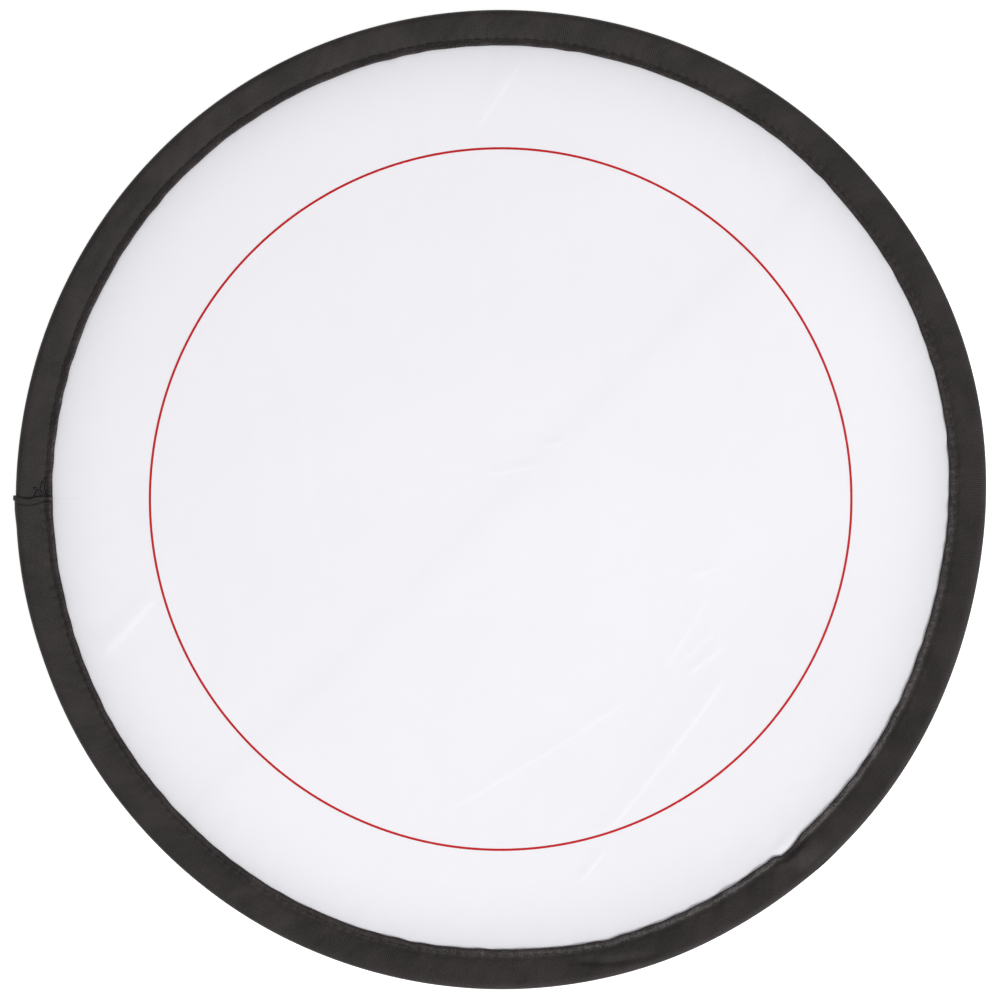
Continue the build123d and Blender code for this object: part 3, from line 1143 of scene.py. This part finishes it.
def make_end_tack(material):
    """The back-and-forth stitches beside the ribbon's end, on both faces."""
    strokes = np.array(TACK_STROKES)[:, None, :] * MM
    t = np.linspace(0, 1, 9)[None, :]
    out = strokes[..., 0] + (strokes[..., 2] - strokes[..., 0]) * t
    above = strokes[..., 1] + (strokes[..., 3] - strokes[..., 1]) * t
    angle = SEAM_ANGLE + TURN - above / RIM_RADIUS
    radius = inner_edge(angle) + out
    share = out / (rim_edge(angle) - inner_edge(angle))
    parts = []
    for front in (True, False):
        level = surface_level(angle, share, front) + TACK_RADIUS * (0.5 - 1.5 * (2 * t - 1) ** 6)
        height = MIDDLE + level if front else np.maximum(MIDDLE - level, TACK_RADIUS)
        tubes, faces = thread_tubes(polar(radius, angle, height), front, TACK_RADIUS)
        parts.append(tubes)
    piece = thread_object("end_tack_stitches", np.concatenate(parts), faces)
    finish_piece(piece, LAST_LEFT, material, ["end_tack"])


# ---------------------------------------------------------------- hoop
def band_section(thickness, height, corner):
    """A flat band's section with rounded corners, as (outward, up) points anticlockwise."""
    points = []
    for turn, (x, z) in zip((0, 90, 180, 270), ((1, 1), (-1, 1), (-1, -1), (1, -1))):
        for part in (0, 45, 90):
            a = math.radians(turn + part)
            points.append((x * (thickness / 2 - corner) + corner * math.cos(a),
                           z * (height / 2 - corner) + corner * math.sin(a)))
    return np.array(points)


def band_mesh(name, angles, section, squash=None):
    """A band swept round the rim inside the ribbon, closed at both ends."""
    centre = rim_edge(angles) - HOOP_INSET
    scale = np.ones(len(angles)) if squash is None else squash
    radius = centre[:, None] + section[None, :, 0] * scale[:, None]
    z = MIDDLE + np.broadcast_to(section[None, :, 1], radius.shape)
    points = polar(radius, angles[:, None], z)
    columns, rows = points.shape[:2]
    faces = [face[::-1] for face in grid_faces(columns, rows, close_rows=True)]
    faces.append(list(range(rows)))
    faces.append([(columns - 1) * rows + i for i in range(rows)][::-1])
    run = np.concatenate([[0], np.cumsum(np.hypot(*np.diff(section, axis=0).T))]) / MM
    flat = flat_grid(angles * RIM_RADIUS / MM, run)
    return new_mesh(name, points.reshape(-1, 3), faces, flat=flat)


def make_hoop(material):
    """The flat steel band inside the ribbon's fold."""
    half_gap = HOOP_END_GAP / 2 / RIM_RADIUS
    angles = np.linspace(SLEEVE_ANGLE + half_gap, SLEEVE_ANGLE + TURN - half_gap, HOOP_COLUMNS)
    whole = band_mesh("hoop", angles, band_section(HOOP_THICKNESS, HOOP_HEIGHT, HOOP_CORNER))
    cut_at_folds(whole)
    for fold, _, piece in split_at_folds("steel_hoop", whole):
        finish_piece(piece, fold, material, nodes_of("hoop", fold))


def make_sleeve(material):
    """The flat sleeve crimped over the hoop's two ends."""
    half = SLEEVE_LENGTH / 2 / RIM_RADIUS
    t = np.linspace(-1, 1, SLEEVE_COLUMNS)
    crimps = sum(bump((np.abs(t) - place) / 0.07) for place in CRIMP_PLACES)
    squash = 1 - CRIMP_DEPTH * crimps
    thickness, height = HOOP_THICKNESS + SLEEVE_EXTRA[0], HOOP_HEIGHT + SLEEVE_EXTRA[1]
    section = band_section(thickness, height, SLEEVE_CORNER)
    mesh = band_mesh("sleeve", SLEEVE_ANGLE + t * half, section, squash)
    piece = add_object("crimped_sleeve", mesh)
    finish_piece(piece, LAST_RIGHT, material, ["hoop_sleeve"])


# ---------------------------------------------------------------- surroundings
def make_floor():
    """A wide plain floor that the disc lies on."""
    half = FLOOR_HALF
    corners = [(-half, -half, 0), (half, -half, 0), (half, half, 0), (-half, half, 0)]
    floor = add_object("floor", new_mesh("floor", corners, [[0, 1, 2, 3]]))
    floor.data.materials.append(floor_material())


def make_lights():
    """Even white surroundings and one wide soft lamp from the lower right."""
    world = bpy.data.worlds.new("studio")
    bpy.context.scene.world = world
    world.use_nodes = True
    sky = world.node_tree.nodes["Background"]
    sky.inputs[0].default_value = (1.0, 1.0, 1.0, 1)
    sky.inputs[1].default_value = WORLD_STRENGTH
    lamp = bpy.data.lights.new("softbox", "AREA")
    lamp.shape = "SQUARE"
    lamp.size = LAMP_SIZE
    lamp.energy = LAMP_POWER
    holder = bpy.data.objects.new("softbox", lamp)
    holder.location = Vector(LAMP_PLACE)
    holder.rotation_mode = "QUATERNION"
    holder.rotation_quaternion = (Vector((0, 0, 0)) - holder.location).to_track_quat("-Z", "Y")
    bpy.context.scene.collection.objects.link(holder)
    bpy.context.scene.view_settings.view_transform = "Standard"


def make_camera():
    """A long lens straight above the disc, with the seam on the left."""
    camera = bpy.data.cameras.new("camera")
    camera.sensor_width = SENSOR_WIDTH
    camera.lens = camera.sensor_width * (CAMERA_PLACE[2] - MIDDLE) / SEEN_WIDTH
    holder = bpy.data.objects.new("camera", camera)
    holder.location = CAMERA_PLACE
    bpy.context.scene.collection.objects.link(holder)
    bpy.context.scene.camera = holder


# ---------------------------------------------------------------- the object
make_camera()
make_lights()
make_floor()

rings = make_ring(ink_material())
for fold, piece, flat, area in make_cloth(cloth_material()):
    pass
for piece, flat in make_binding(tape_material()):
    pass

black = thread_material()
make_thread(black, "front_thread", True)
make_thread(black, "back_thread", False)
make_end_tack(black)
make_hoop(steel_material("spring_steel", (0.50, 0.51, 0.53), 1.4))
make_sleeve(steel_material("sleeve_steel", (0.62, 0.62, 0.62), 0.8))

bpy.context.view_layer.update()
